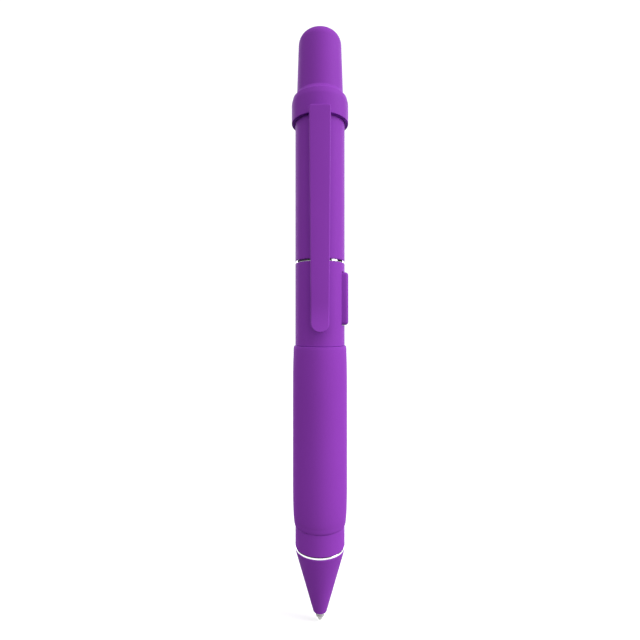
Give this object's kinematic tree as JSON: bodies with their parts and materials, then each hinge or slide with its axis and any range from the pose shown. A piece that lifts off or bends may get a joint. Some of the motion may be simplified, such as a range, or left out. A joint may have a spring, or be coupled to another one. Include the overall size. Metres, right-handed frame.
{
  "type": "retractable ballpoint pen",
  "caption": "Slim purple retractable pen with a top plunger, side release button, bar clip, soft grip sleeve and screw-off metal-pointed nose.",
  "frame": {"origin": "the writing point, on the pen's axis, with the plunger latched down", "axes": "+Z along the pen from the writing point to the plunger, -Y towards the clip, +X towards the side button"},
  "size_m": [0.0138, 0.0167, 0.143],
  "materials": {
    "barrel": "soft-touch matt lacquer",
    "grip": "matt silicone",
    "button": "matt moulded",
    "clip": "matt paint on spring steel",
    "ring_chrome": "polished",
    "refill_metal": "turned",
    "tube_metal": "drawn",
    "spring_steel": "bright drawn",
    "brass": "turned",
    "inner_plastic": "moulded acetal",
    "ink": "ballpoint paste"
  },
  "bodies": {
    "barrel": {"lower_barrel": "barrel", "grip_sleeve": "grip", "spring_seat": "brass", "return_spring": "spring_steel", "mechanism_housing": "inner_plastic", "catch_spring": "spring_steel", "centre_ring": "ring_chrome", "upper_barrel": "barrel", "plunger_guide": "inner_plastic", "collar": "barrel"},
    "plunger": {"plunger_cap": "barrel", "thrust_tube": "tube_metal", "catch_rod": "brass", "retaining_ring": "spring_steel"},
    "refill": {"refill_tube": "refill_metal", "refill_tip": "refill_metal", "ink_column": "ink"},
    "ball": {"writing_ball": "refill_metal"},
    "button": {"side_button": "button"},
    "clip": {"clip": "clip", "clip_rivet": "spring_steel"},
    "nose_carrier": {"nose_ring": "ring_chrome"},
    "nose": {"nose_cone": "barrel"}
  },
  "joints": [
    {"name": "plunger_slide", "type": "slide", "parent": "barrel", "child": "plunger", "axis": [0, 0, 1], "range_m": [0, 0.004], "deforming": ["return_spring", "catch_spring"]},
    {"name": "refill_slide", "type": "slide", "parent": "barrel", "child": "refill", "axis": [0, 0, 1], "range_m": [0, 0.004]},
    {"name": "ball_roll", "type": "hinge", "parent": "refill", "child": "ball", "pos_m": [0, 0, 0.00025], "axis": [1, 0, 0], "continuous": true},
    {"name": "button_press", "type": "slide", "parent": "barrel", "child": "button", "axis": [-1, 0, 0], "range_m": [0, 0.0008], "stiffness_N_per_m": 600, "springref_m": -0.001},
    {"name": "clip_flex", "type": "hinge", "parent": "barrel", "child": "clip", "pos_m": [0, -0.006, 0.1207], "axis": [-1, 0, 0], "range_deg": [0, 3.2], "stiffness_Nm_per_rad": 2.9},
    {"name": "nose_travel", "type": "slide", "parent": "barrel", "child": "nose_carrier", "axis": [0, 0, -1], "range_m": [0, 0.005]},
    {"name": "nose_unscrew", "type": "hinge", "parent": "nose_carrier", "child": "nose", "pos_m": [0, 0, 0.0179], "axis": [0, 0, -1], "range_deg": [0, 1801]}
  ],
  "couplings": [
    {"joint": "refill_slide", "follows": "plunger_slide", "ratio": 1},
    {"joint": "nose_unscrew", "follows": "nose_travel", "rad_per_m": 6283.2}
  ]
}
